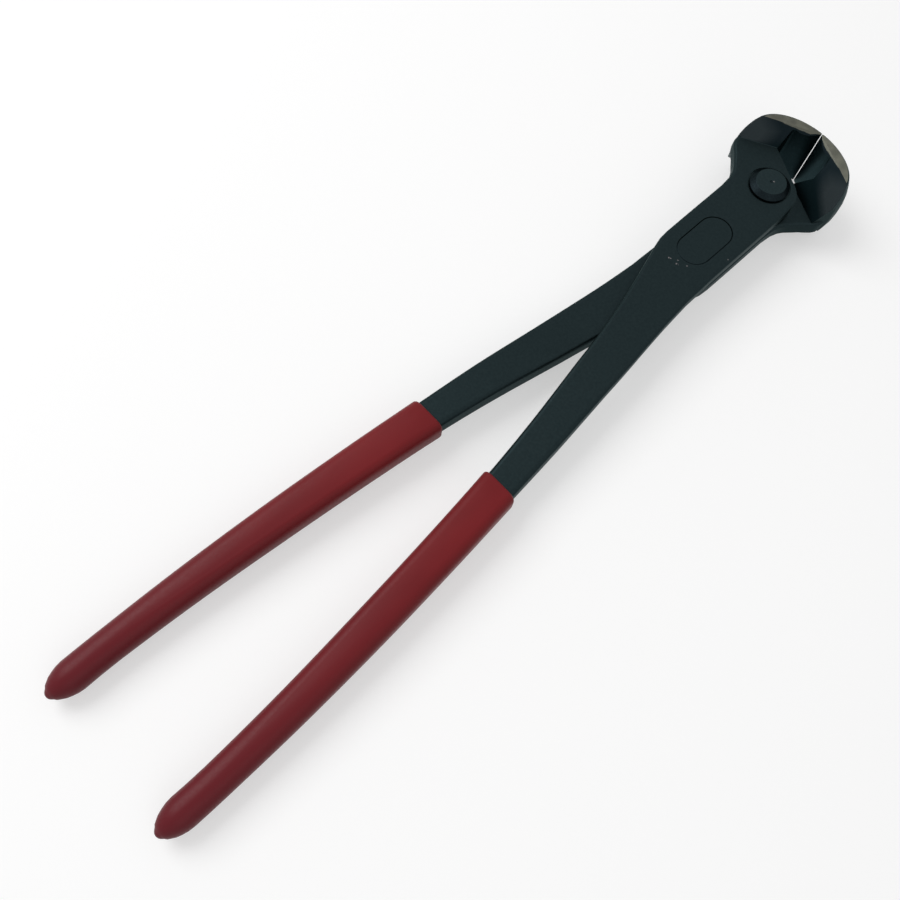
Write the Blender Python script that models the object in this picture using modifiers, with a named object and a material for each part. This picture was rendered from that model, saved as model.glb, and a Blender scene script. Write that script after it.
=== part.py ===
"""Rebar tying pliers, 300 mm size, in metres, lying flat with +Z up and the head towards +Y.

Two levers from the same forging lie one on the other, the second turned over about the
tool's long axis. A headed rivet joins them, and each handle wears a dipped plastic sleeve
that ends in a drip. Shapes are described on one lever, with the rivet's axis at x = y = 0,
the plane between the levers at z = 0, the jaw at -X and the handle at +X and -Y. A reach is
a distance from the rivet along Y.
"""

import math

import bmesh
import bpy
from mathutils import Matrix, Vector

# Joint: each lever is a plate here, and a gap keeps the two apart
JOINT_THICKNESS = 0.0055
JOINT_GAP = 0.0003
NECK_WIDTH = 0.0224
NECK_LENGTH = 0.0450
EDGE_ROUND = 0.0012

# Rim of the eye, where the upper lever leaves the lower jaw's root bare
EYE_RADIUS = 0.0096
EYE_OFFSET = 0.0013
EYE_DROP = 0.0016
EYE_START_REACH = 0.0095
EYE_END_ANGLE = math.radians(60)

# Rivet, with a bevelled head at both ends and a punch mark in each
RIVET_RADIUS = 0.0045
RIVET_HEAD_RADIUS = 0.0070
RIVET_CROWN_RADIUS = 0.0053
RIVET_HEAD_HEIGHT = 0.0022
RIVET_EDGE_HEIGHT = 0.0006
RIVET_FIT = 0.0003
SEAT_MARGIN = 0.0005
SEAT_DEPTH = 0.0003
PUNCH_RADIUS = 0.0005
PUNCH_DEPTH = 0.0004

# Handle bar, most of it inside the sleeve
BAR_REACH = 0.2680
BAR_NOSE = 0.0036
BAR_TIP_RADIUS = 0.0018
HANDLE_OFFSET = 0.0236

# Head: each jaw is one side of a round barrel, bulging between two flat ground rims
JAW_HALF_DEPTH = 0.0122
HEAD_HALF_WIDTH = 0.0218
HEAD_CENTRE_REACH = 0.0130
HEAD_END_RADIUS = 0.0140
HEAD_BACK_RADIUS = 0.0240
HEAD_SIDE_DRAFT = 0.0027
HEAD_END_DRAFT = 0.0012
HEAD_BULGE_POWER = 2.5
RIM_CHAMFER = 0.0004

# Flare: the slope that rises from the joint's plate to the jaw's ground rim, on both sides
FLARE_START = 0.0123
FLARE_RISE_ANGLE = math.radians(50.9)
FLARE_TURN_ANGLE = math.radians(27.3)
FLARE_SIDE = 0.0146

# Shoulder, the plate's sweep from the neck out to the jaw
SHOULDER_REACH = 0.0163
SHOULDER_WIDTH = 0.0220

# Throat behind the cutting edges, hollow towards the edge
THROAT_HALF_WIDTH = 0.0083
THROAT_BACK_REACH = 0.0145
THROAT_FRONT_REACH = 0.0204
EDGE_REACH = 0.0250
EDGE_LAND = 0.0004
EDGE_RELIEF_ANGLE = math.radians(38)

# Shallow blank panel forged into the neck
PANEL_LENGTH = 0.0226
PANEL_WIDTH = 0.0120
PANEL_DEPTH = 0.0003
PANEL_REACH = 0.0340

# Dipped sleeve, thicker past the bar's end, with a drip
SLEEVE_START = 0.1442
SLEEVE_WALL = 0.00095
SLEEVE_FIT = 0.0003
SLEEVE_MOUTH_ROUND = 0.0009
SLEEVE_END_WALL = 0.0060
SLEEVE_DOME = 0.0074
DRIP_RADIUS = 0.0023
DRIP_LENGTH = 0.0012

# An overrun takes every cutter past the metal that it cuts, and a weld closes finer seams
OVERRUN = 0.0100
WELD = 0.000003
SHARP_ANGLE = math.radians(30)

# Facets
CORNER_STEPS = 4
BAR_STEPS = 34
SLEEVE_STEPS = 22
HEAD_STEPS = 72
ROUND_STEPS = 48
EYE_STEPS = 12
HOLLOW_STEPS = 6

# Shoulder cross-sections from the jaw back to the neck: reach as a share of the shoulder's
# reach, and the outer side as a share of its width.
SHOULDER_SHARES = (
    (1.000, 0.860),
    (0.800, 0.940),
    (0.560, 0.960),
    (0.400, 0.945),
    (0.320, 0.912),
    (0.235, 0.858),
    (0.117, 0.775),
    (-0.012, 0.700),
    (-0.135, 0.625),
    (-0.276, 0.565),
    (-0.448, 0.527),
)

# Neck cross-sections: reach as a share of the neck's length, then the inner and outer side as
# shares of half its width.
NECK_SHARES = (
    (0.27, 0.995, 1.000),
    (0.66, 0.995, 1.000),
    (0.90, 0.990, 1.000),
    (0.98, 0.965, 1.006),
    (1.07, 0.872, 1.018),
)

# Bar cross-sections from the neck to the bar's end: place between the two, middle as a share of
# the handle's offset, width as a share of the neck's width, lower and upper face as shares of
# the joint's thickness, and edge round as a share of the joint's edge round.
BAR_SHARES = (
    (0.045, 0.083, 0.858, 0.00, 1.00, 1.00),
    (0.100, 0.181, 0.745, 0.00, 1.00, 1.00),
    (0.155, 0.276, 0.671, 0.00, 1.00, 1.00),
    (0.195, 0.339, 0.635, -0.03, 0.99, 1.05),
    (0.240, 0.396, 0.599, -0.22, 0.94, 1.10),
    (0.345, 0.538, 0.519, -0.54, 0.78, 1.20),
    (0.440, 0.645, 0.461, -0.65, 0.66, 1.35),
    (0.560, 0.764, 0.427, -0.68, 0.68, 1.60),
    (0.695, 0.875, 0.396, -0.69, 0.69, 1.95),
    (0.830, 0.960, 0.355, -0.69, 0.69, 2.40),
    (0.950, 1.002, 0.321, -0.66, 0.66, 2.60),
    (1.000, 1.002, 0.321, -0.66, 0.66, 2.60),
)

# Places along a rounded end as shares of its length, and the drip's radius at shares of its own
END_SHARES = (0.25, 0.48, 0.68, 0.84, 0.94)
DRIP_SHARES = ((0.00, 0.86), (0.35, 0.72), (0.68, 0.54), (0.90, 0.34), (1.00, 0.12))

HALF_GAP = JOINT_GAP / 2
HALF_NECK = NECK_WIDTH / 2
OUTER_FACE = HALF_GAP + JOINT_THICKNESS
HEAD_REACH = HEAD_CENTRE_REACH + HEAD_END_RADIUS
DOME_REACH = BAR_REACH + SLEEVE_FIT + SLEEVE_END_WALL
DRIP_REACH = DOME_REACH + DRIP_LENGTH


def clear_scene():
    for item in list(bpy.data.objects):
        bpy.data.objects.remove(item, do_unlink=True)


def new_collection(name):
    collection = bpy.data.collections.new(name)
    bpy.context.scene.collection.children.link(collection)
    return collection


def new_material(name, colour, roughness, metallic):
    material = bpy.data.materials.new(name)
    material.use_nodes = True
    shader = material.node_tree.nodes["Principled BSDF"]
    shader.inputs["Base Color"].default_value = colour
    shader.inputs["Roughness"].default_value = roughness
    shader.inputs["Metallic"].default_value = metallic
    material.diffuse_color = colour
    return material


def place_mesh(name, mesh, collection):
    item = bpy.data.objects.new(name, mesh)
    collection.objects.link(item)
    return item


def place_cutter(name, mesh, collection):
    cutter = place_mesh(name, mesh, collection)
    cutter.hide_render = True
    cutter.display_type = "WIRE"
    return cutter


def baked_mesh(item, name):
    """The object's mesh with its modifiers applied and its loose seams welded."""
    graph = bpy.context.evaluated_depsgraph_get()
    mesh = bpy.data.meshes.new_from_object(item.evaluated_get(graph))
    mesh.name = name
    shape = bmesh.new()
    shape.from_mesh(mesh)
    bmesh.ops.remove_doubles(shape, verts=shape.verts, dist=WELD)
    bmesh.ops.recalc_face_normals(shape, faces=shape.faces)
    shape.to_mesh(mesh)
    shape.free()
    return mesh


def plate_cutter(name, outline, low, high, collection):
    """A flat outline given thickness between two heights, as a mesh that a Boolean can use."""
    flat = bpy.data.curves.new(name, "CURVE")
    flat.dimensions = "2D"
    flat.fill_mode = "BOTH"
    flat.extrude = (high - low) / 2
    spline = flat.splines.new("POLY")
    spline.points.add(len(outline) - 1)
    for point, (x, y) in zip(spline.points, outline):
        point.co = (x, y, 0, 1)
    spline.use_cyclic_u = True
    guide = place_mesh(name + "_outline", flat, collection)
    bpy.context.view_layer.update()
    mesh = baked_mesh(guide, name)
    mesh.transform(Matrix.Translation((0, 0, (low + high) / 2)))
    bpy.data.objects.remove(guide)
    return place_cutter(name, mesh, collection)


def disc_cutter(name, radius, low, high, collection):
    shape = bmesh.new()
    bmesh.ops.create_cone(
        shape,
        cap_ends=True,
        segments=ROUND_STEPS,
        radius1=radius,
        radius2=radius,
        depth=high - low,
        matrix=Matrix.Translation((0, 0, (high + low) / 2)),
    )
    mesh = bpy.data.meshes.new(name)
    shape.to_mesh(mesh)
    shape.free()
    return place_cutter(name, mesh, collection)


def loft_mesh(name, rings):
    """A closed solid through rings of equally many points."""
    shape = bmesh.new()
    loops = []
    for ring in rings:
        verts = [shape.verts.new(point) for point in ring]
        loops.append([shape.edges.new(pair) for pair in zip(verts, verts[1:] + verts[:1])])
        if ring is rings[0] or ring is rings[-1]:
            shape.faces.new(verts)
    for first, second in zip(loops, loops[1:]):
        bmesh.ops.bridge_loops(shape, edges=first + second)
    bmesh.ops.recalc_face_normals(shape, faces=shape.faces)
    mesh = bpy.data.meshes.new(name)
    shape.to_mesh(mesh)
    shape.free()
    return mesh


def add_boolean(item, operation, other):
    modifier = item.modifiers.new(other.name, "BOOLEAN")
    modifier.operation = operation
    modifier.object = other
    modifier.solver = "EXACT"


def smooth_row(rows, place):
    """The row at this place on a smooth curve through all the rows."""
    slopes = []
    for index in range(len(rows)):
        before = rows[max(index - 1, 0)]
        after = rows[min(index + 1, len(rows) - 1)]
        slopes.append([(b - a) / (after[0] - before[0]) for a, b in zip(before, after)])
    index = max(i for i in range(len(rows) - 1) if i == 0 or rows[i][0] <= place)
    run = rows[index + 1][0] - rows[index][0]
    t = (place - rows[index][0]) / run
    found = []
    for a, b, slope_a, slope_b in zip(rows[index], rows[index + 1], slopes[index], slopes[index + 1]):
        level = (2 * t**3 - 3 * t**2 + 1) * a + (3 * t**2 - 2 * t**3) * b
        bend = (t**3 - 2 * t**2 + t) * slope_a + (t**3 - t**2) * slope_b
        found.append(level + bend * run)
    return found


def section_ring(section):
    """A cross-section (reach, left, right, low, high, edge round) as a ring of points."""
    reach, left, right, low, high, edge_round = section
    radius = min(edge_round, (right - left) / 2, (high - low) / 2)
    corners = (
        (right - radius, high - radius),
        (left + radius, high - radius),
        (left + radius, low + radius),
        (right - radius, low + radius),
    )
    ring = []
    for quarter, (x, z) in enumerate(corners):
        for step in range(CORNER_STEPS + 1):
            angle = (quarter + step / CORNER_STEPS) * math.pi / 2
            ring.append(Vector((x + radius * math.cos(angle), -reach, z + radius * math.sin(angle))))
    return ring


def bar_section(reach):
    """The handle bar's cross-section at this reach."""
    place = (reach - NECK_LENGTH) / (BAR_REACH - NECK_LENGTH)
    _, middle, width, low, high, edge_round = smooth_row(BAR_SHARES, place)
    centre = HANDLE_OFFSET * middle
    half_width = NECK_WIDTH * width / 2
    return (
        reach,
        centre - half_width,
        centre + half_width,
        HALF_GAP + JOINT_THICKNESS * low,
        HALF_GAP + JOINT_THICKNESS * high,
        EDGE_ROUND * edge_round,
    )


def grown(section, growth):
    """A cross-section with the same middle, larger all round."""
    reach, left, right, low, high, edge_round = section
    return (reach, left - growth, right + growth, low - growth, high + growth, edge_round + growth)


def rounded_end(section, length, tip_radius):
    """Cross-sections that close a shape in a quarter ellipse, down to a small flat tip."""
    reach, left, right, low, high, edge_round = section
    x, z = (left + right) / 2, (low + high) / 2
    sections = []
    for share in END_SHARES:
        narrow = math.sqrt(1 - share**2)
        half_x = max((right - left) / 2 * narrow, tip_radius)
        half_z = max((high - low) / 2 * narrow, tip_radius)
        place = reach + length * share
        sections.append((place, x - half_x, x + half_x, z - half_z, z + half_z, edge_round))
    end = reach + length
    sections.append((end, x - tip_radius, x + tip_radius, z - tip_radius, z + tip_radius, tip_radius))
    return sections


def bar_sections(start, steps):
    """The bar from this reach to its nose, in even steps."""
    end = BAR_REACH - BAR_NOSE
    return [bar_section(start + (end - start) * step / steps) for step in range(steps + 1)]


def lever_body_mesh():
    """Shoulder, neck and handle bar in one run of cross-sections."""
    sections = []
    for along, side in SHOULDER_SHARES:
        reach = -SHOULDER_REACH * along
        sections.append((reach, -SHOULDER_WIDTH * side, HALF_NECK, HALF_GAP, OUTER_FACE, EDGE_ROUND))
    for along, inner, outer in NECK_SHARES:
        left, right = -HALF_NECK * inner, HALF_NECK * outer
        sections.append((NECK_LENGTH * along, left, right, HALF_GAP, OUTER_FACE, EDGE_ROUND))
    bar_start = NECK_LENGTH + (BAR_REACH - NECK_LENGTH) * BAR_SHARES[0][0]
    sections += bar_sections(bar_start, BAR_STEPS)
    sections += rounded_end(sections[-1], BAR_NOSE, BAR_TIP_RADIUS)
    return loft_mesh("lever_body", [section_ring(section) for section in sections])


def head_barrel(collection):
    """The whole head's barrel, widest between the levers, with a chamfered rim at each end."""
    chamfer = RIM_CHAMFER / JAW_HALF_DEPTH
    upper = [(1, RIM_CHAMFER), (1 - chamfer, 0), (0.82, 0), (0.60, 0), (0.32, 0)]
    levels = upper + [(0, 0)] + [(-level, inset) for level, inset in reversed(upper)]
    rings = []
    for level, inset in levels:
        bulge = abs(level) ** HEAD_BULGE_POWER
        side = HEAD_HALF_WIDTH - HEAD_SIDE_DRAFT * bulge - inset
        ring = []
        for step in range(HEAD_STEPS):
            angle = 2 * math.pi * step / HEAD_STEPS
            end = HEAD_END_RADIUS if angle < math.pi else HEAD_BACK_RADIUS
            y = HEAD_CENTRE_REACH + (end - HEAD_END_DRAFT * bulge - inset) * math.sin(angle)
            ring.append(Vector((side * math.cos(angle), y, JAW_HALF_DEPTH * level)))
        rings.append(ring)
    return place_cutter("head_barrel", loft_mesh("head_barrel", rings), collection)


def flare_wedge(collection):
    """The prism whose two slopes rise from the joint's plane to the jaw's full depth."""
    far = HEAD_REACH + HEAD_HALF_WIDTH
    deep = JAW_HALF_DEPTH + OVERRUN
    top = FLARE_START + deep / math.tan(FLARE_RISE_ANGLE)
    across = Vector((math.cos(FLARE_TURN_ANGLE), math.sin(FLARE_TURN_ANGLE), 0))
    ahead = Vector((-math.sin(FLARE_TURN_ANGLE), math.cos(FLARE_TURN_ANGLE), 0))
    up = Vector((0, 0, 1))
    profile = ((FLARE_START, 0), (top, -deep), (far, -deep), (far, deep), (top, deep))
    rings = []
    for side in (-FLARE_SIDE, far):
        rings.append([across * side + ahead * reach + up * height for reach, height in profile])
    return place_cutter("flare_wedge", loft_mesh("flare_wedge", rings), collection)


def throat_cutter(collection):
    """Clears the metal beyond the eye's rim, the throat, and everything past the cutting edge."""
    beyond = HALF_NECK + OVERRUN
    ahead = HEAD_REACH + OVERRUN
    outline = [(beyond, -EYE_START_REACH), (HALF_NECK, -EYE_START_REACH)]
    for step in range(EYE_STEPS + 1):
        angle = EYE_END_ANGLE * step / EYE_STEPS
        x = EYE_OFFSET + EYE_RADIUS * math.cos(angle)
        outline.append((x, EYE_RADIUS * math.sin(angle) - EYE_DROP))
    outline.append((-THROAT_HALF_WIDTH, THROAT_BACK_REACH))
    for step in range(HOLLOW_STEPS + 1):
        share = step / HOLLOW_STEPS
        x = -THROAT_HALF_WIDTH + (THROAT_HALF_WIDTH - HALF_GAP) * share
        outline.append((x, THROAT_FRONT_REACH + (EDGE_REACH - THROAT_FRONT_REACH) * share**2))
    relief_start = EDGE_REACH + EDGE_LAND
    relief_run = (ahead - relief_start) / math.tan(EDGE_RELIEF_ANGLE)
    outline += [(-HALF_GAP, relief_start), (-HALF_GAP - relief_run, ahead), (beyond, ahead)]
    deep = JAW_HALF_DEPTH + OVERRUN
    return plate_cutter("throat_cutter", outline, -deep, deep, collection)


def panel_cutter(collection):
    """A long panel with round ends, sunk a little into the neck's outer face."""
    radius = PANEL_WIDTH / 2
    straight = PANEL_LENGTH / 2 - radius
    half_steps = ROUND_STEPS // 3
    outline = []
    for end in (1, -1):
        for step in range(half_steps + 1):
            angle = math.pi * step / half_steps
            x, y = radius * math.cos(angle) * end, (straight + radius * math.sin(angle)) * end
            outline.append((x, y - PANEL_REACH))
    return plate_cutter("panel_cutter", outline, OUTER_FACE - PANEL_DEPTH, OUTER_FACE + OVERRUN, collection)


def lever_mesh(cutters):
    """The finished forging: body and jaw joined, then the throat, rivet hole, seat and panel cut."""
    jaw = head_barrel(cutters)
    add_boolean(jaw, "INTERSECT", flare_wedge(cutters))
    body = place_cutter("lever_body", lever_body_mesh(), cutters)
    add_boolean(body, "UNION", jaw)
    add_boolean(body, "DIFFERENCE", throat_cutter(cutters))
    above = OUTER_FACE + OVERRUN
    hole_radius = RIVET_RADIUS + RIVET_FIT
    add_boolean(body, "DIFFERENCE", disc_cutter("hole_cutter", hole_radius, -OVERRUN, above, cutters))
    seat_radius = RIVET_HEAD_RADIUS + SEAT_MARGIN
    seat_floor = OUTER_FACE - SEAT_DEPTH
    add_boolean(body, "DIFFERENCE", disc_cutter("seat_cutter", seat_radius, seat_floor, above, cutters))
    add_boolean(body, "DIFFERENCE", panel_cutter(cutters))
    bpy.context.view_layer.update()
    return baked_mesh(body, "lever")


def rivet_mesh(cutters):
    """The turned rivet: half its outline, spun about the joint's axis."""
    under_head = OUTER_FACE - SEAT_DEPTH + RIVET_FIT
    crown = under_head + RIVET_HEAD_HEIGHT
    half = [
        (0, crown - PUNCH_DEPTH),
        (PUNCH_RADIUS, crown),
        (RIVET_CROWN_RADIUS, crown),
        (RIVET_HEAD_RADIUS, under_head + RIVET_EDGE_HEIGHT),
        (RIVET_HEAD_RADIUS, under_head),
        (RIVET_RADIUS, under_head),
    ]
    profile = half + [(x, -z) for x, z in reversed(half)]
    mesh = bpy.data.meshes.new("rivet_profile")
    mesh.from_pydata([(x, 0, z) for x, z in profile], [(i, i + 1) for i in range(len(profile) - 1)], [])
    turned = place_cutter("rivet_profile", mesh, cutters)
    screw = turned.modifiers.new("turn", "SCREW")
    screw.steps = ROUND_STEPS
    screw.render_steps = ROUND_STEPS
    screw.use_merge_vertices = True
    screw.merge_threshold = WELD
    bpy.context.view_layer.update()
    return baked_mesh(turned, "rivet")


def sleeve_mesh():
    """The dipped sleeve: out along the bore, round the mouth, then back outside to the drip."""
    covered = bar_sections(SLEEVE_START, SLEEVE_STEPS)
    bore = covered + rounded_end(covered[-1], BAR_NOSE, BAR_TIP_RADIUS)
    tip = grown(bore[-1], SLEEVE_FIT)
    sections = [(tip[0] + SLEEVE_FIT, *tip[1:])]
    sections += [grown(section, SLEEVE_FIT) for section in reversed(bore)]
    outside = SLEEVE_FIT + SLEEVE_WALL
    for step in range(1, CORNER_STEPS + 1):
        angle = step / CORNER_STEPS * math.pi / 2
        reach = SLEEVE_START + SLEEVE_MOUTH_ROUND * (1 - math.cos(angle))
        sections.append(grown(bar_section(reach), outside - SLEEVE_WALL * (1 - math.sin(angle))))
    outer_start = SLEEVE_START + SLEEVE_MOUTH_ROUND
    dome_start = DOME_REACH - SLEEVE_DOME
    for step in range(1, SLEEVE_STEPS + 1):
        reach = outer_start + (dome_start - outer_start) * step / SLEEVE_STEPS
        inside = bar_section(min(reach, BAR_REACH))
        sections.append((reach, *grown(inside, outside)[1:]))
    sections += rounded_end(sections[-1], SLEEVE_DOME, DRIP_RADIUS)
    root = sections.pop()
    x, z = (root[1] + root[2]) / 2, (root[3] + root[4]) / 2
    for along, narrow in DRIP_SHARES:
        r = DRIP_RADIUS * narrow
        sections.append((DOME_REACH + DRIP_LENGTH * along, x - r, x + r, z - r, z + r, r))
    return loft_mesh("sleeve", [section_ring(section) for section in sections])


def add_piece(name, mesh, material, axis, collection):
    """A piece of the tool, hung on the rivet's axis."""
    mesh.materials.clear()
    mesh.materials.append(material)
    mesh.shade_smooth()
    mesh.set_sharp_from_angle(angle=SHARP_ANGLE)
    item = place_mesh(name, mesh, collection)
    item.parent = axis


def add_axis(name, pivot_y, turn, collection):
    """An empty on the rivet's axis, at the joint's middle plane."""
    axis = bpy.data.objects.new(name, None)
    axis.location = (0, pivot_y, JAW_HALF_DEPTH)
    axis.rotation_euler = (0, turn, 0)
    collection.objects.link(axis)
    return axis


def main():
    clear_scene()
    tool = new_collection("rebar_tying_pliers")
    cutters = new_collection("cutters")
    black_steel = new_material("black_steel", (0.016, 0.025, 0.027, 1), 0.40, 0.5)
    rivet_steel = new_material("rivet_steel", (0.018, 0.026, 0.028, 1), 0.45, 0.5)
    red_plastic = new_material("red_plastic", (0.16, 0.022, 0.024, 1), 0.32, 0.0)

    lever = lever_mesh(cutters)
    sleeve = sleeve_mesh()
    jaw_reach = max(vertex.co.y for vertex in lever.vertices)
    pivot_y = (DRIP_REACH - jaw_reach) / 2
    front_axis = add_axis("front_axis", pivot_y, 0, tool)
    rear_axis = add_axis("rear_axis", pivot_y, math.pi, tool)
    add_piece("front_lever", lever, black_steel, front_axis, tool)
    add_piece("rear_lever", lever, black_steel, rear_axis, tool)
    add_piece("front_grip", sleeve, red_plastic, front_axis, tool)
    add_piece("rear_grip", sleeve, red_plastic, rear_axis, tool)
    add_piece("pivot_rivet", rivet_mesh(cutters), rivet_steel, front_axis, tool)


main()
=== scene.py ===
"""Looks for the rebar tying pliers: black forged levers, ground jaw faces, red dipped sleeves."""

import math

import bmesh
import bpy
from mathutils import Euler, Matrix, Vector


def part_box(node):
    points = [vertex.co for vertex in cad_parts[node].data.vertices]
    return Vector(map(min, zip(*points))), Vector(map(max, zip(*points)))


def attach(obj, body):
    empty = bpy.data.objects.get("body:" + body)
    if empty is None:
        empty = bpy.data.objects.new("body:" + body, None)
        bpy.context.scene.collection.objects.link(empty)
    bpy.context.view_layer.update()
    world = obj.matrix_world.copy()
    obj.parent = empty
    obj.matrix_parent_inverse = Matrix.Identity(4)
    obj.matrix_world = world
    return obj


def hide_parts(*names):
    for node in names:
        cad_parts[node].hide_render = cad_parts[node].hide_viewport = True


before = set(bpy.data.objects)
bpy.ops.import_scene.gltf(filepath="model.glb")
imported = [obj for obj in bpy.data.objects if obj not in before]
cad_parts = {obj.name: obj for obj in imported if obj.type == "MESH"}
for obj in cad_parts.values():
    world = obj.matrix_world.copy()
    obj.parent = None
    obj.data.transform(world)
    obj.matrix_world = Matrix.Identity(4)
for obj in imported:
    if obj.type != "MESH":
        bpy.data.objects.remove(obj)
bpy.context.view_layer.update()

# Places on the tool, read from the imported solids
JAW_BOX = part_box("front_lever")
GRIP_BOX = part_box("front_grip")
RIVET_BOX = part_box("pivot_rivet")
TOOL_TOP = JAW_BOX[1][2]
JOINT_Z = (RIVET_BOX[0][2] + RIVET_BOX[1][2]) / 2
CROWN_Z = RIVET_BOX[1][2]
PIVOT = Vector([(low + high) / 2 for low, high in zip(*RIVET_BOX)])
PLATE_RISE = 0.00565
PLATE_Z = JOINT_Z + PLATE_RISE
NECK_START = 0.0250
THROAT_HALF_WIDTH = 0.0083
THROAT_START = 0.0090
THROAT_CORNER = 0.0204
EDGE_REACH = 0.0254

# Telling the solids' faces apart: distances that count as touching, and normals that count as
# level, upright or sloping
NEAR = 0.0001
CORNER_NEAR = 0.0006
RIM_SHARE = 0.998
LEVEL = 0.99
CROWN_LEVEL = 0.95
UPRIGHT = 0.1
SLOPING = 0.4
SLOPE_NEAR = 0.06

# The throat's upright edges are taller than this, and a panel's floor lies between these depths
# and has more corners than this
TALL = 0.0100
PANEL_SUNK = (0.0002, 0.0010)
PANEL_CORNERS = 20

# Camera, placed from the rivet's middle
CAMERA_FROM_PIVOT = Vector((0.06280, -0.23681, 0.27114))
CAMERA_TURN = [math.radians(angle) for angle in (22.038, -4.213, 46.565)]
CAMERA_LENS = 38.95

# Edges: forged corners are eased, and the flare's foot and the throat's corner are rounded more
FORGED_EASE = 0.00022
RIVET_EASE = 0.00012
FOOT_ROUND = 0.0009
THROAT_ROUND = 0.0012
FORGED_STEPS = 2
ROUND_STEPS = 5
SHARP_ANGLE = math.radians(28)
SLEEVE_SHARP = math.radians(45)
FLAT_ANGLE = math.radians(0.2)
JOIN = 0.00001

# Fine groove that outlines the panel on each neck
GROOVE_WIDTH = 0.00038
GROOVE_RISE = 0.00022

# The sleeve's dome swells a little before its drip: distance from the drip's end, and growth
DOME_SHAPE = (
    (0.00000, 1.00),
    (0.00040, 0.97),
    (0.00080, 0.97),
    (0.00120, 1.00),
    (0.00164, 1.12),
    (0.00238, 1.16),
    (0.00357, 1.06),
    (0.00550, 1.00),
)

# Flare of a jaw: how its slope is turned, and where it starts from the rivet
FLARE_TURN = math.radians(27.3)
FLARE_RISE = math.radians(50.9)
FLARE_START = 0.0123

# Painted shade on the flare: the way it is climbed, and where the painted shade fades up it; the
# paler part, a painted reflection, starts between these reaches outward and ends between these
# reaches ahead
SHADE_TURN = math.radians(39.2)
SHADE_REACH = (0.0166, 0.0186)
PALE_OUTWARD = (0.0100, 0.0150)
PALE_AHEAD = (0.0140, 0.0178)

# The ground face runs out over the flare's edge by this much, between these reaches outward
RUN_OUT = 0.0007
RUN_OUT_REACH = (0.0030, 0.0050, 0.0130)
RUN_OUT_WAVER = 0.0001
RUN_OUT_SOFT = 0.00006

# The dipped red is darkened by painted shade over this length, up to the sleeve's end
SHADE_RUN = 0.110

# Grain of the finishes, in ripples for each metre
GRAIN = 2600
MOTTLE = 420
BLACK_GRAIN = 1300
TINT_GRAIN = 1600
WORN_PATCHES = 75
WORN_GRAIN = 1900
WHEEL_STROKES = 3200
GROUND_CLOUD = 320
DIP_RIPPLE = 90
DIP_PEEL = 1500
CHIP_GRAIN = 3800

# Floor, its glow towards the camera, and the light of the room
FLOOR_SIZE = 1.7
FLOOR_DROP = 0.0004
FLOOR_PLACE = 0.9
FLOOR_GREY = (0.55, 0.55, 0.55, 1)
FLOOR_GLOW = 0.49
ROOM_LIGHT = 0.42
WHITE = (1, 1, 1, 1)

# Softboxes: power, and place
SOFTBOX_SIZE = 0.8
SOFTBOXES = {
    "left_softbox": (8.6, (-0.75, -0.20, 0.95)),
    "right_softbox": (1.3, (0.80, -0.45, 0.85)),
}

# Finishes
BLACK = (0.0158, 0.0248, 0.0268, 1)
BLACK_DEEP = (0.0130, 0.0208, 0.0228, 1)
RIVET_BLACK = (0.0190, 0.0298, 0.0322, 1)
RIVET_DEEP = (0.0156, 0.0250, 0.0274, 1)
# Flares: the paler part is a painted reflection, lighter on the front lever than on the rear; the
# dark and deep shades are painted shade
FLARE_PAINTED_LIGHT_FRONT = (0.0190, 0.0248, 0.0270, 1)
FLARE_PAINTED_LIGHT_REAR = (0.0158, 0.0204, 0.0222, 1)
FLARE_SHADE = (0.0064, 0.0104, 0.0126, 1)
FLARE_SHADE_DEEP = (0.0028, 0.0062, 0.0072, 1)
# The panel's groove: darkened by painted shade inside it
GROOVE_PAINTED_SHADE = (0.0035, 0.0065, 0.0075, 1)
GROOVE_RIM_PAINTED_SHADE = (0.0060, 0.0098, 0.0115, 1)
# Throats: the rear lever's is painted lighter than the front's, the same black under another
# light (painted light)
THROAT_BLACK = (0.0118, 0.0236, 0.0272, 1)
THROAT_EDGE = (0.0148, 0.0290, 0.0330, 1)
THROAT_PAINTED_LIGHT_REAR = (0.0264, 0.0480, 0.0536, 1)
THROAT_EDGE_PAINTED_LIGHT_REAR = (0.0328, 0.0592, 0.0656, 1)
# Rivet's bevel and sides: darkened by painted shade
BEVEL_PAINTED_SHADE = (0.0068, 0.0102, 0.0122, 1)
BEVEL_EDGE_PAINTED_SHADE = (0.0090, 0.0138, 0.0158, 1)
# Eased corners: paler as rubbed wear and as a painted highlight
WEAR_AND_SHEEN = (0.0340, 0.0430, 0.0440, 1)
CHIP = (0.190, 0.176, 0.178, 1)
GRAZING_TINT = (0.60, 0.66, 0.66, 1)
# Ground faces: the rear lever's are painted lighter than the front's, one finish under two lights
# (painted light)
GROUND_FRONT = (0.119, 0.121, 0.097, 1)
GROUND_FRONT_DARK = (0.083, 0.084, 0.069, 1)
GROUND_REAR_PAINTED_LIGHT = (0.150, 0.152, 0.122, 1)
GROUND_REAR_PAINTED_LIGHT_DARK = (0.104, 0.106, 0.087, 1)
RED = (0.176, 0.0118, 0.0146, 1)
RED_DEEP = (0.156, 0.0100, 0.0126, 1)
# Painted shade: the red at the sleeve's end
RED_PAINTED_SHADE = (0.122, 0.0104, 0.0160, 1)

# Chips in the black near the neck's lower end and a bright speck on the rivet, from the rivet's
# middle: x, y and radius
NECK_CHIPS = (
    (-0.00346, -0.04830, 0.00024),
    (-0.00290, -0.04800, 0.00014),
    (-0.00083, -0.04676, 0.00020),
    (-0.00033, -0.04818, 0.00026),
    (0.00040, -0.04790, 0.00012),
    (0.00258, -0.04613, 0.00016),
    (0.00998, -0.03384, 0.00018),
)
RIVET_CHIPS = ((0.00055, 0.00058, 0.00026),)

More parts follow.
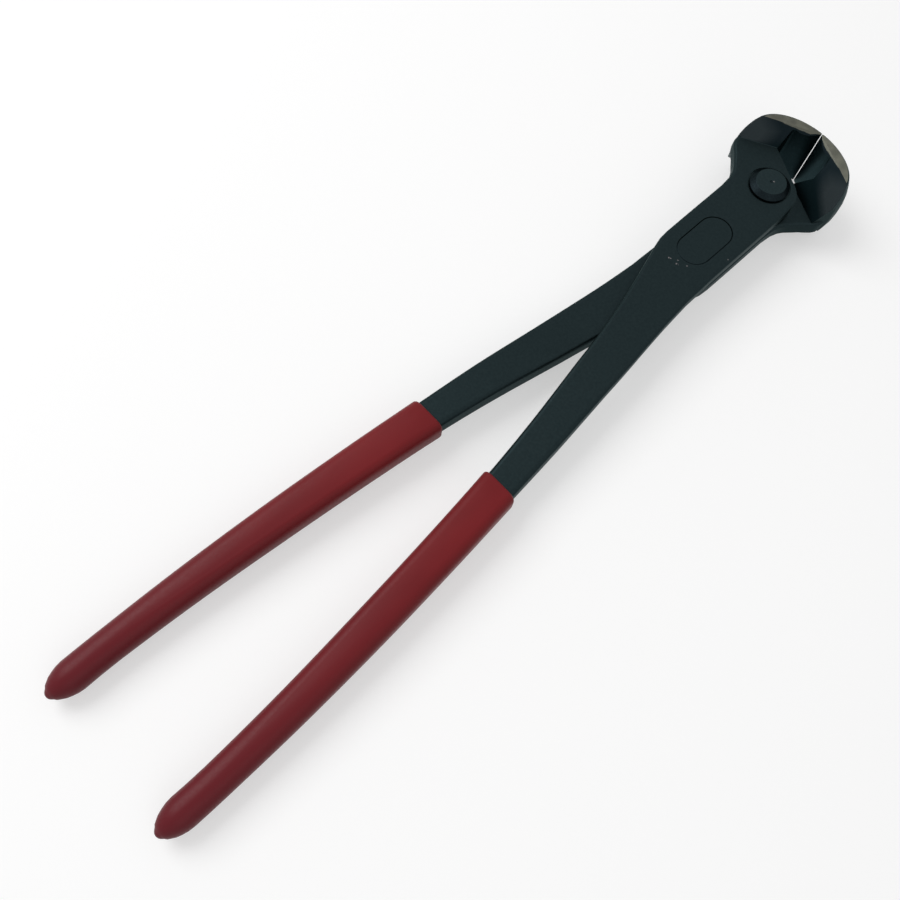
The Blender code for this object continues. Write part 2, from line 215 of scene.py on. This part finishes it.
# A chip's ragged rim, and the shares of its radius where it is bare and where it ends
CHIP_RAGGED = 0.00016
CHIP_BARE, CHIP_END = 0.4, 1.3

# Slots of a lever's finishes
PLAIN, GROUND_RIM, FLARE, GROOVE, THROAT, EDGE = range(6)


def new_material(name):
    material = bpy.data.materials.new(name)
    material.use_nodes = True
    nodes = material.node_tree.nodes
    return material, nodes, material.node_tree.links, nodes["Principled BSDF"]


def object_place(nodes, links, stretch):
    """Object coordinates, stretched along the axes."""
    place = nodes.new("ShaderNodeTexCoord")
    mapping = nodes.new("ShaderNodeMapping")
    mapping.inputs["Scale"].default_value = stretch
    links.new(place.outputs["Object"], mapping.inputs["Vector"])
    return mapping.outputs["Vector"]


def noise(nodes, links, place, scale, detail):
    texture = nodes.new("ShaderNodeTexNoise")
    texture.inputs["Scale"].default_value = scale
    texture.inputs["Detail"].default_value = detail
    links.new(place, texture.inputs["Vector"])
    return texture.outputs["Fac"]


def ranged(nodes, links, value, start, end, low, high):
    """A value between start and end brought into a range from low to high."""
    node = nodes.new("ShaderNodeMapRange")
    node.inputs["From Min"].default_value = start
    node.inputs["From Max"].default_value = end
    node.inputs["To Min"].default_value = low
    node.inputs["To Max"].default_value = high
    links.new(value, node.inputs["Value"])
    return node.outputs["Result"]


def spread(nodes, links, value, low, high):
    """The middle of a noise, from 0.35 to 0.65, spread over a range."""
    return ranged(nodes, links, value, 0.35, 0.65, low, high)


def calculate(nodes, links, operation, first, second):
    """Two values put together by a Math node."""
    node = nodes.new("ShaderNodeMath")
    node.operation = operation
    for socket, value in zip(node.inputs, (first, second)):
        if isinstance(value, (int, float)):
            socket.default_value = value
        else:
            links.new(value, socket)
    return node.outputs["Value"]


def blend(nodes, links, amount, first, second):
    """Two colours or sockets mixed by an amount."""
    mix = nodes.new("ShaderNodeMix")
    mix.data_type = "RGBA"
    links.new(amount, mix.inputs["Factor"])
    for socket, value in ((mix.inputs[6], first), (mix.inputs[7], second)):
        if isinstance(value, tuple):
            socket.default_value = value
        else:
            links.new(value, socket)
    return mix.outputs[2]


def bump(nodes, links, shader, layers):
    """Bumps laid over each other: height, strength and depth of each."""
    under = None
    for height, strength, depth in layers:
        node = nodes.new("ShaderNodeBump")
        node.inputs["Strength"].default_value = strength
        node.inputs["Distance"].default_value = depth
        links.new(height, node.inputs["Height"])
        if under:
            links.new(under, node.inputs["Normal"])
        under = node.outputs["Normal"]
    links.new(under, shader.inputs["Normal"])


def chip_amount(nodes, links, place, chips, height):
    """Ragged little spots where the black has come off."""
    ripple = noise(nodes, links, place, CHIP_GRAIN, 3)
    ragged = spread(nodes, links, ripple, -CHIP_RAGGED, CHIP_RAGGED)
    amount = None
    for x, y, radius in chips:
        away = nodes.new("ShaderNodeVectorMath")
        away.operation = "DISTANCE"
        links.new(place, away.inputs[0])
        away.inputs[1].default_value = (PIVOT.x + x, PIVOT.y + y, height)
        rough = calculate(nodes, links, "ADD", away.outputs["Value"], ragged)
        inside = ranged(nodes, links, rough, radius * CHIP_BARE, radius * CHIP_END, 1, 0)
        amount = calculate(nodes, links, "MAXIMUM", amount, inside) if amount else inside
    return amount


def steel_skin(nodes, links, shader, place, colour):
    """Satin black over a forging: a fine grain in its gloss and its surface."""
    shader.inputs["Metallic"].default_value = 1.0
    shader.inputs["Specular Tint"].default_value = GRAZING_TINT
    links.new(colour, shader.inputs["Base Color"])
    grain = noise(nodes, links, place, GRAIN, 3)
    mottle = noise(nodes, links, place, MOTTLE, 3)
    links.new(spread(nodes, links, grain, 0.36, 0.48), shader.inputs["Roughness"])
    bump(nodes, links, shader, ((mottle, 0.16, 0.00004), (grain, 0.42, 0.00003)))


def black_steel(name, dark, light, chips, height):
    """The black of the plates, bars and rivet, with chips where some are listed."""
    material, nodes, links, shader = new_material(name)
    place = object_place(nodes, links, (1, 1, 1))
    shade = spread(nodes, links, noise(nodes, links, place, BLACK_GRAIN, 5), 0, 1)
    colour = blend(nodes, links, shade, dark, light)
    if chips:
        chipped = chip_amount(nodes, links, place, chips, height)
        colour = blend(nodes, links, chipped, colour, CHIP)
    steel_skin(nodes, links, shader, place, colour)
    return material


def ground_run_out(nodes, links, place, height, outward):
    """Where the wheel ran a little over the flare's upper edge, most by the cutting edge."""
    rise = ranged(nodes, links, outward, 0.0, RUN_OUT_REACH[0], 0.0, RUN_OUT)
    fall = ranged(nodes, links, outward, RUN_OUT_REACH[1], RUN_OUT_REACH[2], RUN_OUT, 0.0)
    width = calculate(nodes, links, "MINIMUM", rise, fall)
    mottle = noise(nodes, links, place, MOTTLE, 3)
    ragged = spread(nodes, links, mottle, -RUN_OUT_WAVER, RUN_OUT_WAVER)
    above = calculate(nodes, links, "SUBTRACT", height, JOINT_Z)
    below = calculate(nodes, links, "SUBTRACT", JOINT_Z, height)
    off_plane = calculate(nodes, links, "MAXIMUM", above, below)
    reached = calculate(nodes, links, "ADD", off_plane, width)
    reached = calculate(nodes, links, "ADD", reached, ragged)
    rim = TOOL_TOP - JOINT_Z
    return ranged(nodes, links, reached, rim - RUN_OUT_SOFT, rim + RUN_OUT_SOFT, 0, 1)


def flare_steel(name, side, pale_black, ground):
    """The jaw's flare: painted shade low down and by the throat, a paler painted reflection where
    it spreads out.
    """
    material, nodes, links, shader = new_material(name)
    place = object_place(nodes, links, (1, 1, 1))
    parts = nodes.new("ShaderNodeSeparateXYZ")
    links.new(place, parts.inputs["Vector"])
    across = calculate(nodes, links, "SUBTRACT", parts.outputs["X"], PIVOT.x)
    outward = calculate(nodes, links, "MULTIPLY", across, side)
    ahead = calculate(nodes, links, "SUBTRACT", parts.outputs["Y"], PIVOT.y)
    climb_out = calculate(nodes, links, "MULTIPLY", outward, math.sin(SHADE_TURN))
    climb_ahead = calculate(nodes, links, "MULTIPLY", ahead, math.cos(SHADE_TURN))
    climb = calculate(nodes, links, "ADD", climb_out, climb_ahead)
    spreading = ranged(nodes, links, outward, PALE_OUTWARD[0], PALE_OUTWARD[1], 0, 1)
    lower = ranged(nodes, links, ahead, PALE_AHEAD[0], PALE_AHEAD[1], 1, 0)
    pale = calculate(nodes, links, "MINIMUM", spreading, lower)
    raised = ranged(nodes, links, climb, SHADE_REACH[0], SHADE_REACH[1], 0, 1)
    colour = blend(nodes, links, pale, FLARE_SHADE, pale_black)
    colour = blend(nodes, links, raised, FLARE_SHADE_DEEP, colour)
    run_out = ground_run_out(nodes, links, place, parts.outputs["Z"], outward)
    colour = blend(nodes, links, run_out, colour, ground)
    steel_skin(nodes, links, shader, place, colour)
    return material


def tinted_steel(name, dark, light):
    """The same black between two shades at random, for the groove's and the rivet bevel's painted
    shade and the throats' painted light.
    """
    material, nodes, links, shader = new_material(name)
    place = object_place(nodes, links, (1, 1, 1))
    shade = spread(nodes, links, noise(nodes, links, place, TINT_GRAIN, 3), 0, 1)
    colour = blend(nodes, links, shade, dark, light)
    steel_skin(nodes, links, shader, place, colour)
    return material


def wear_and_sheen_edge():
    """Eased corners: paler in patches, as rubbed wear and as a painted highlight, dark in
    between.
    """
    material, nodes, links, shader = new_material("wear_and_sheen_edge")
    place = object_place(nodes, links, (1, 1, 1))
    patches = spread(nodes, links, noise(nodes, links, place, WORN_PATCHES, 3), 0, 1)
    fine = spread(nodes, links, noise(nodes, links, place, WORN_GRAIN, 3), 0.35, 1)
    rubbed_and_sheen = calculate(nodes, links, "MULTIPLY", patches, fine)
    colour = blend(nodes, links, rubbed_and_sheen, BLACK_DEEP, WEAR_AND_SHEEN)
    steel_skin(nodes, links, shader, place, colour)
    return material


def ground_steel(name, dark, light):
    """Bare jaw faces, straight from the grinding wheel."""
    material, nodes, links, shader = new_material(name)
    strokes = noise(nodes, links, object_place(nodes, links, (1, 0.06, 1)), WHEEL_STROKES, 3)
    cloud = noise(nodes, links, object_place(nodes, links, (1, 1, 1)), GROUND_CLOUD, 3)
    colour = blend(nodes, links, spread(nodes, links, cloud, 0, 1), dark, light)
    links.new(colour, shader.inputs["Base Color"])
    shader.inputs["Metallic"].default_value = 0.9
    links.new(spread(nodes, links, strokes, 0.34, 0.52), shader.inputs["Roughness"])
    bump(nodes, links, shader, ((strokes, 0.35, 0.00003),))
    return material


def red_plastic():
    """Soft PVC, dipped: a red skin with a slow ripple, darker towards the sleeve's end by painted
    shade.
    """
    material, nodes, links, shader = new_material("red_plastic")
    place = object_place(nodes, links, (1, 1, 1))
    ripple = noise(nodes, links, object_place(nodes, links, (1, 0.45, 1)), DIP_RIPPLE, 2)
    peel = noise(nodes, links, place, DIP_PEEL, 2)
    parts = nodes.new("ShaderNodeSeparateXYZ")
    links.new(place, parts.inputs["Vector"])
    end = GRIP_BOX[0][1]
    painted_shade = ranged(nodes, links, parts.outputs["Y"], end, end + SHADE_RUN, 1, 0)
    colour = blend(nodes, links, spread(nodes, links, ripple, 0, 1), RED_DEEP, RED)
    colour = blend(nodes, links, painted_shade, colour, RED_PAINTED_SHADE)
    links.new(colour, shader.inputs["Base Color"])
    shader.inputs["Specular IOR Level"].default_value = 0.15
    links.new(spread(nodes, links, peel, 0.37, 0.45), shader.inputs["Roughness"])
    bump(nodes, links, shader, ((ripple, 0.22, 0.0004), (peel, 0.16, 0.00003)))
    return material


def merged_copy(node):
    """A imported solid's faces, merged, with the flats made whole."""
    shape = bmesh.new()
    shape.from_mesh(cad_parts[node].data)
    bmesh.ops.remove_doubles(shape, verts=shape.verts, dist=JOIN)
    bmesh.ops.dissolve_limit(shape, angle_limit=FLAT_ANGLE, verts=shape.verts, edges=shape.edges)
    shape.normal_update()
    return shape


def ease(shape, edges, width, segments, clamp):
    """The edges rounded over, and the faces that this makes."""
    made = bmesh.ops.bevel(
        shape,
        geom=edges,
        offset=width,
        offset_type="OFFSET",
        affect="EDGES",
        segments=segments,
        profile=0.5,
        material=-1,
        clamp_overlap=clamp,
    )
    shape.normal_update()
    return made["faces"]


def hard_edges(shape):
    whole = [edge for edge in shape.edges if edge.is_manifold]
    return [edge for edge in whole if edge.calc_face_angle() > SHARP_ANGLE]


def place_piece(shape, name, materials):
    """The finished faces as a smooth piece of their own."""
    bmesh.ops.recalc_face_normals(shape, faces=shape.faces)
    mesh = bpy.data.meshes.new(name)
    shape.to_mesh(mesh)
    shape.free()
    for material in materials:
        mesh.materials.append(material)
    mesh.shade_smooth()
    item = bpy.data.objects.new(name, mesh)
    bpy.context.scene.collection.objects.link(item)
    return item


def even_shading(item):
    """Large flats keep their own normal, and only the eased corners turn."""
    weighted = item.modifiers.new("even_shading", "WEIGHTED_NORMAL")
    weighted.mode = "FACE_AREA"
    weighted.weight = 80
    weighted.keep_sharp = True


def is_plate_face(face):
    """A lever's flat outer face, beside the panel and the rivet."""
    rise = abs(face.calc_center_median().z - JOINT_Z)
    return abs(rise - PLATE_RISE) < NEAR and abs(face.normal.z) > LEVEL


def is_flare_face(face, outward):
    """The jaw's slope, above and below the plate."""
    ahead, across = math.cos(FLARE_TURN), math.sin(FLARE_TURN) * outward
    middle = face.calc_center_median()
    start = ahead * (middle.y - PIVOT.y) + across * middle.x
    facing = ahead * face.normal.y + across * face.normal.x
    slopes_back = facing < SLOPE_NEAR - math.sin(FLARE_RISE)
    return start > FLARE_START and slopes_back and abs(face.normal.z) > SLOPING


def is_throat_face(face, outward):
    """The upright walls behind the cutting edge."""
    middle = face.calc_center_median()
    across = -NEAR < outward * middle.x < THROAT_HALF_WIDTH + 2 * NEAR
    along = THROAT_START < middle.y - PIVOT.y < EDGE_REACH
    return across and along and abs(face.normal.z) < UPRIGHT


def mark_faces(shape, outward):
    rim = (TOOL_TOP - JOINT_Z) * RIM_SHARE
    for face in shape.faces:
        face.material_index = PLAIN
        if abs(face.calc_center_median().z - JOINT_Z) > rim and abs(face.normal.z) > LEVEL:
            face.material_index = GROUND_RIM
        elif is_flare_face(face, outward):
            face.material_index = FLARE
        elif is_throat_face(face, outward):
            face.material_index = THROAT


def round_foot(shape):
    """The flare grows out of the plate's outer face in a soft hollow."""
    foot = []
    for edge in hard_edges(shape):
        first, second = edge.link_faces
        slots = {first.material_index, second.material_index}
        if FLARE in slots and (is_plate_face(first) or is_plate_face(second)):
            foot.append(edge)
    ease(shape, foot, FOOT_ROUND, ROUND_STEPS, False)


def round_throat(shape):
    """The throat's wall turns into the hollow behind the edge without a corner."""
    upright = []
    for edge in hard_edges(shape):
        first, second = edge.verts
        along = first.co - second.co
        tall = abs(along.z) > TALL and math.hypot(along.x, along.y) < 2 * NEAR
        at_corner = abs(first.co.y - PIVOT.y - THROAT_CORNER) < CORNER_NEAR
        if tall and at_corner and abs(abs(first.co.x) - THROAT_HALF_WIDTH) < 4 * NEAR:
            upright.append(edge)
    ease(shape, upright, THROAT_ROUND, ROUND_STEPS, False)


def outline_panel(shape):
    """The blank panel's floor rises again inside a fine groove."""
    floors = []
    for face in shape.faces:
        middle = face.calc_center_median()
        sunk = PLATE_RISE - abs(middle.z - JOINT_Z)
        level = abs(face.normal.z) > LEVEL and len(face.verts) > PANEL_CORNERS
        on_neck = middle.y < PIVOT.y - NECK_START
        if level and on_neck and PANEL_SUNK[0] < sunk < PANEL_SUNK[1]:
            floors.append(face)
    ring = bmesh.ops.inset_individual(
        shape,
        faces=floors,
        thickness=GROOVE_WIDTH,
        depth=GROOVE_RISE,
        use_even_offset=True,
    )
    for face in ring["faces"]:
        face.material_index = GROOVE
    shape.normal_update()


def make_lever(side, outward, finishes):
    shape = merged_copy(side + "_lever")
    mark_faces(shape, outward)
    round_foot(shape)
    round_throat(shape)
    outline_panel(shape)
    for face in ease(shape, hard_edges(shape), FORGED_EASE, FORGED_STEPS, True):
        if face.material_index in (PLAIN, FLARE):
            face.material_index = EDGE
    lever = place_piece(shape, side + "_lever_forging", finishes)
    even_shading(lever)
    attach(lever, side)
    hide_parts(side + "_lever")


def make_rivet(steel, bevel):
    shape = merged_copy("pivot_rivet")
    for face in shape.faces:
        face.material_index = 0 if abs(face.normal.z) > CROWN_LEVEL else 1
    ease(shape, hard_edges(shape), RIVET_EASE, FORGED_STEPS, True)
    rivet = place_piece(shape, "rivet", (steel, bevel))
    even_shading(rivet)
    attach(rivet, "rear")
    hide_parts("pivot_rivet")


def fill_dome(shape):
    """The dome is fuller than a quarter round, so that the drip stands off it."""
    end = min(vert.co.y for vert in shape.verts)
    tip = [vert.co for vert in shape.verts if vert.co.y < end + JOIN]
    middle = sum(tip, Vector()) / len(tip)
    for vert in shape.verts:
        away = vert.co.y - end
        for (start, low), (stop, high) in zip(DOME_SHAPE, DOME_SHAPE[1:]):
            if start <= away < stop:
                growth = low + (high - low) * (away - start) / (stop - start)
                vert.co.x = middle.x + (vert.co.x - middle.x) * growth
                vert.co.z = middle.z + (vert.co.z - middle.z) * growth


def make_grip(side, plastic):
    shape = merged_copy(side + "_grip")
    fill_dome(shape)
    for face in shape.faces:
        face.material_index = 0
    grip = place_piece(shape, side + "_sleeve", (plastic,))
    grip.data.set_sharp_from_angle(angle=SLEEVE_SHARP)
    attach(grip, side)
    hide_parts(side + "_grip")


def sees_background(nodes):
    """One for the camera, a mirror or a glass that looks at the background."""
    path = nodes.new("ShaderNodeLightPath")
    links = nodes.id_data.links
    total = path.outputs["Is Camera Ray"]
    for name in ("Is Glossy Ray", "Is Transmission Ray"):
        total = calculate(nodes, links, "MAXIMUM", total, path.outputs[name])
    return total


def make_stage():
    material, nodes, links, shader = new_material("floor")
    shader.inputs["Base Color"].default_value = FLOOR_GREY
    shader.inputs["Roughness"].default_value = 1.0
    shader.inputs["Specular IOR Level"].default_value = 0.0
    shader.inputs["Emission Color"].default_value = WHITE
    glow = calculate(nodes, links, "MULTIPLY", sees_background(nodes), FLOOR_GLOW)
    links.new(glow, shader.inputs["Emission Strength"])
    shape = bmesh.new()
    bmesh.ops.create_grid(shape, x_segments=1, y_segments=1, size=FLOOR_SIZE / 2)
    mesh = bpy.data.meshes.new("floor")
    shape.to_mesh(mesh)
    shape.free()
    mesh.materials.append(material)
    floor = bpy.data.objects.new("floor", mesh)
    bpy.context.scene.collection.objects.link(floor)
    head_y = JAW_BOX[1][1]
    tail_y = GRIP_BOX[0][1]
    slope = math.atan2(GRIP_BOX[0][2], head_y - tail_y)
    floor.rotation_euler = (-slope, 0, 0)
    floor.location = (0, head_y * FLOOR_PLACE, -FLOOR_DROP)


def make_softbox(name, power, place):
    lamp = bpy.data.lights.new(name, "AREA")
    lamp.energy = power
    lamp.size = SOFTBOX_SIZE
    item = bpy.data.objects.new(name, lamp)
    item.location = place
    item.rotation_euler = (-item.location).to_track_quat("-Z", "Y").to_euler()
    bpy.context.scene.collection.objects.link(item)


def make_lights():
    world = bpy.data.worlds.new("studio")
    bpy.context.scene.world = world
    world.use_nodes = True
    nodes = world.node_tree.nodes
    links = world.node_tree.links
    background = nodes["Background"]
    background.inputs["Color"].default_value = WHITE
    strength = ranged(nodes, links, sees_background(nodes), 0, 1, ROOM_LIGHT, 1.0)
    links.new(strength, background.inputs["Strength"])
    for name, (power, place) in SOFTBOXES.items():
        make_softbox(name, power, Vector(place))


def make_camera():
    data = bpy.data.cameras.new("camera")
    data.lens = CAMERA_LENS
    data.sensor_width = 36
    data.clip_start = 0.01
    camera = bpy.data.objects.new("camera", data)
    camera.location = PIVOT + CAMERA_FROM_PIVOT
    camera.rotation_euler = Euler(CAMERA_TURN, "XYZ")
    bpy.context.scene.collection.objects.link(camera)
    bpy.context.scene.camera = camera


edge_finish = wear_and_sheen_edge()
# The groove's ring is darkened by a painted shade
groove_shade_finish = tinted_steel("groove_shade_steel", GROOVE_PAINTED_SHADE, GROOVE_RIM_PAINTED_SHADE)
make_lever(
    "front",
    -1,
    (
        black_steel("black_steel", BLACK_DEEP, BLACK, NECK_CHIPS, PLATE_Z),
        ground_steel("ground_front", GROUND_FRONT_DARK, GROUND_FRONT),
        flare_steel("flare_front", -1, FLARE_PAINTED_LIGHT_FRONT, GROUND_FRONT_DARK),
        groove_shade_finish,
        tinted_steel("throat_front", THROAT_BLACK, THROAT_EDGE),
        edge_finish,
    ),
)
make_lever(
    "rear",
    1,
    (
        black_steel("black_steel_rear", BLACK_DEEP, BLACK, (), PLATE_Z),
        ground_steel("ground_rear", GROUND_REAR_PAINTED_LIGHT_DARK, GROUND_REAR_PAINTED_LIGHT),
        flare_steel("flare_rear", 1, FLARE_PAINTED_LIGHT_REAR, GROUND_REAR_PAINTED_LIGHT_DARK),
        groove_shade_finish,
        tinted_steel("throat_rear", THROAT_PAINTED_LIGHT_REAR, THROAT_EDGE_PAINTED_LIGHT_REAR),
        edge_finish,
    ),
)
# The rivet's sloping faces carry a painted shade
make_rivet(
    black_steel("rivet_steel", RIVET_DEEP, RIVET_BLACK, RIVET_CHIPS, CROWN_Z),
    tinted_steel("rivet_bevel_painted_shade", BEVEL_PAINTED_SHADE, BEVEL_EDGE_PAINTED_SHADE),
)
plastic = red_plastic()
make_grip("front", plastic)
make_grip("rear", plastic)
make_stage()
make_lights()
make_camera()
bpy.context.scene.view_settings.view_transform = "Standard"
